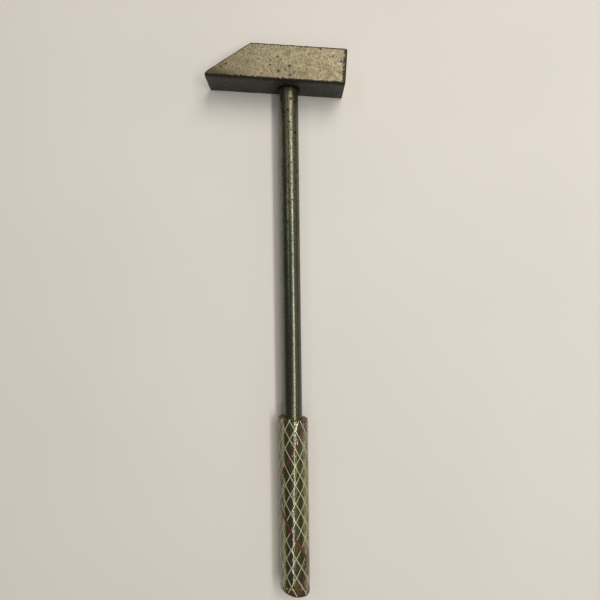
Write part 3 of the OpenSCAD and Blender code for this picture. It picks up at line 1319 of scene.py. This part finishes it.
@dataclass
class Hose:
    """The clear wall of the grip: one solid, because its two walls are bonded through the braid."""

    braid: Braid
    bore: float = 5.06 * MM
    radius: float = 7.94 * MM
    limit: float = 8.0 * MM
    ridge: float = 0.04 * MM
    sag: float = 0.03 * MM
    around: int = 168
    pitch: float = 0.36 * MM
    lip: float = 0.32 * MM
    # The stained far end, the grime in the bore past the rod, and the near cut's clean middle
    far_zone: float = 4.0 * MM
    grime_reach: float = 2.8 * MM
    clean_half: float = 3.9 * MM

    def build(self) -> None:
        """Makes the wall as one closed loop of rings: bore, far end, outside, near end."""
        braid = self.braid
        angle = np.linspace(0, math.tau, self.around, endpoint=False)
        # The cuts are laid out on the wall's middle radius: at any angle round the hose, an end
        # is level from the bore to the outside
        across = (self.bore + self.radius) / 2 * np.cos(angle)
        wobble = MM * (0.12 * np.sin(3 * angle + 0.6) + 0.06 * np.sin(8 * angle + 2.1)
                       + 0.04 * np.sin(19 * angle + 0.3))
        near = braid.end_y(braid.start, braid.near_cut, 0.0, across) + wobble
        far = braid.end_y(braid.stop, braid.far_cut, braid.far_bow, across) - wobble
        flat_top = self.radius - self.lip
        flats = [self.bore + (flat_top - self.bore) * share for share in (0.25, 0.5, 0.75)]
        lips = [(flat_top + self.lip * math.sin(turn), self.lip * (1 - math.cos(turn)))
                for turn in np.linspace(0, math.pi / 2, 5)[:-1]]
        # Each row of points is a radius and a place along the hose, all the way round
        rows = [(self.bore, near + (far - near) * share) for share in np.linspace(0, 1, 90)]
        rows += [(radius, far) for radius in flats]
        rows += [(radius, far + back) for radius, back in lips]
        outer_rows = int((braid.start - braid.stop) / self.pitch)
        for share in np.linspace(0, 1, outer_rows):
            y = far + self.lip + (near - far - 2 * self.lip) * share
            fade = min(1, min(share, 1 - share) * outer_rows / 6)
            swell = self.ridge * braid.ridges(angle, y) * fade
            sag = self.sag * np.sin(y * 260 + 2 * angle) * fade
            rows.append((self.radius + np.minimum(swell + sag, self.limit - self.radius), y))
        rows += [(radius, near - back) for radius, back in lips[::-1]]
        rows += [(radius, near) for radius in flats[::-1]]
        radius = np.stack([np.broadcast_to(radius, angle.shape) for radius, _ in rows])
        y = np.stack([y for _, y in rows])
        points = np.stack([radius * np.cos(angle), y, braid.axis_z + radius * np.sin(angle)],
                          axis=-1)
        mesh = grid_mesh("hose_wall", points.reshape(-1, 3),
                         ring_faces(len(rows), self.around, True))
        mesh.materials.append(ClearPvc().build())
        mesh.materials.append(CutPvc().build())
        mesh.polygons.foreach_set("use_smooth", [True] * len(mesh.polygons))
        self.mark_ends(mesh)
        own(put_in_scene("hose_wall", mesh), "outer_pvc", "hose_liner", "hose_cover")

    def mark_ends(self, mesh: Mesh) -> None:
        """Gives the two cut ends their own finish.

        Args:
            mesh: The wall's mesh.
        """
        for face in mesh.polygons:
            x, y, z = face.center
            off_axis = math.hypot(x, z - self.braid.axis_z)
            from_end = y - self.braid.stop
            cut = off_axis < self.radius - 0.45 * self.lip and abs(face.normal.y) > 0.6
            ragged_half = self.clean_half + 0.5 * MM * math.sin(z * 5200)
            stained = z < self.braid.axis_z or abs(x) > ragged_half or from_end < self.far_zone
            grime = off_axis < self.bore + 0.1 * MM and from_end < self.grime_reach
            face.material_index = int(cut and stained or grime)


# ---------------------------------------------------------------------------
# Floor, light and camera
# ---------------------------------------------------------------------------


@dataclass(frozen=True)
class Softbox:
    """A rectangular soft light, with its second side along Y unless it is turned."""

    name: str
    place: tuple[float, float, float]
    aim: tuple[float, float, float]
    size: tuple[float, float]
    watts: float
    colour: Colour = (1.0, 1.0, 1.0)
    turned: float = 0.0

    def build(self) -> None:
        """Hangs the light."""
        data = bpy.data.lights.new(self.name, "AREA")
        data.shape, (data.size, data.size_y) = "RECTANGLE", self.size
        data.energy, data.color = self.watts, self.colour
        light = put_in_scene(self.name, data)
        back = (Vector(self.place) - Vector(self.aim)).normalized()
        across = Vector((0, 1, 0)).cross(back).normalized()
        turn = Matrix((across, back.cross(across), back)).transposed()
        turn = turn @ Matrix.Rotation(math.radians(self.turned), 3, "Z")
        light.matrix_world = Matrix.Translation(self.place) @ turn.to_4x4()


@dataclass
class Studio:
    """A plain pale floor, soft light and a camera that looks almost straight down."""

    camera_place: tuple[float, float, float] = (2.23 * MM, -119.1 * MM, 275.7 * MM)
    # Degrees about X, Y and Z, from looking straight down
    camera_lean: tuple[float, float, float] = (-0.57, -0.51, -0.76)
    lens: float = 29.88
    sensor: float = 36.0
    floor_size: float = 3.0
    ambient: Colour = (1.0, 0.985, 0.96)
    ambient_strength: float = 0.10

    def lights(self) -> list[Softbox]:
        """The lights, all aimed at the hammer's middle.

        Returns:
            A window high beyond the head, a narrow strip for the rod's highlight, a low side
            light, a small lamp, and a turned fill that draws the bead of light along the hose.
        """
        middle = (0.0, -0.12, 0.0)
        return [
            Softbox("window", (0.34, 0.60, 1.0), middle, (0.60, 0.62), 6.4, (1.0, 0.94, 0.86)),
            Softbox("strip", (0.52, -0.08, 1.05), middle, (0.14, 0.88), 5.9, (1.0, 0.98, 0.91)),
            Softbox("side", (1.10, -0.05, 0.56), middle, (0.50, 1.20), 1.0, (0.98, 1.0, 0.92)),
            Softbox("lamp", (-0.54, 0.20, 1.0), middle, (0.20, 0.58), 0.85, (1.0, 0.95, 0.86)),
            Softbox("fill", (0.04, -0.62, 1.0), middle, (0.11, 0.70), 1.5, (1.0, 1.0, 0.96), -56.0),
        ]

    def build(self) -> None:
        """Sets the floor, the lights, the world and the camera."""
        scene = bpy.context.scene
        half = self.floor_size / 2
        mesh = bpy.data.meshes.new("floor")
        mesh.from_pydata([(-half, -half, 0), (half, -half, 0), (half, half, 0), (-half, half, 0)],
                         [], [(0, 1, 2, 3)])
        mesh.materials.append(PlainFloor().build())
        floor = put_in_scene("floor", mesh)
        for light in self.lights():
            light.build()
        world = bpy.data.worlds.new("room")
        world.use_nodes = True
        background = world.node_tree.nodes["Background"]
        background.inputs["Color"].default_value = (*self.ambient, 1.0)
        background.inputs["Strength"].default_value = self.ambient_strength
        scene.world = world
        scene.view_settings.view_transform = "Standard"
        data = bpy.data.cameras.new("camera")
        data.lens, data.sensor_width = self.lens, self.sensor
        data.clip_start = 0.01
        camera = put_in_scene("camera", data)
        turn = Matrix.Identity(4)
        for angle, axis in zip(self.camera_lean, "XYZ"):
            turn = turn @ Matrix.Rotation(math.radians(angle), 4, axis)
        camera.matrix_world = Matrix.Translation(self.camera_place) @ turn
        scene.camera = camera


def mount(name: str) -> dict[str, object]:
    """One of the record's mounts, by name."""
    return next(m for m in frame["record"]["mounts"] if m["name"] == name)


def main() -> None:
    """Builds the whole hammer and the studio around it."""
    logging.basicConfig(level=logging.INFO, format="%(name)s: %(message)s")
    Studio().build()
    axis = mount("striking_face")["axis"]
    skew = math.atan2(axis[1], axis[0])
    rod_low, rod_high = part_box("handle_rod")
    hose_low, hose_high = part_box("hose_cover")
    axis_z = (rod_low[2] + rod_high[2]) / 2
    wear = wear_tree()
    head = Head(skew=skew, rod_z=axis_z, thickness=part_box("head")[1][2])
    head.build(wear, HeadSteel(-skew))
    seat = head.outer_side()
    weld_floor = seat @ Matrix.Translation((0, 0, -head.seat_depth))
    rod = Rod(low_y=rod_low[1], high_y=head.width, axis_z=axis_z)
    rod.build(wear, RodSteel(skew, -head.width / 2, rod_low[1], hose_high[1]), weld_floor)
    PlugWeld(seat, head.seat_radius, head.seat_depth).build(wear, WeldMetal())
    # The box ends at each cut's outer corner, so the axis meets the cut a little further in
    braid = Braid(axis_z=axis_z,
                  start=hose_high[1] - hose_high[0] * math.tan(NEAR_CUT),
                  stop=hose_low[1] + hose_high[0] * math.tan(FAR_CUT) - BOWED_PAST)
    braid.build()
    Hose(braid).build()


if __name__ == "__main__":
    main()
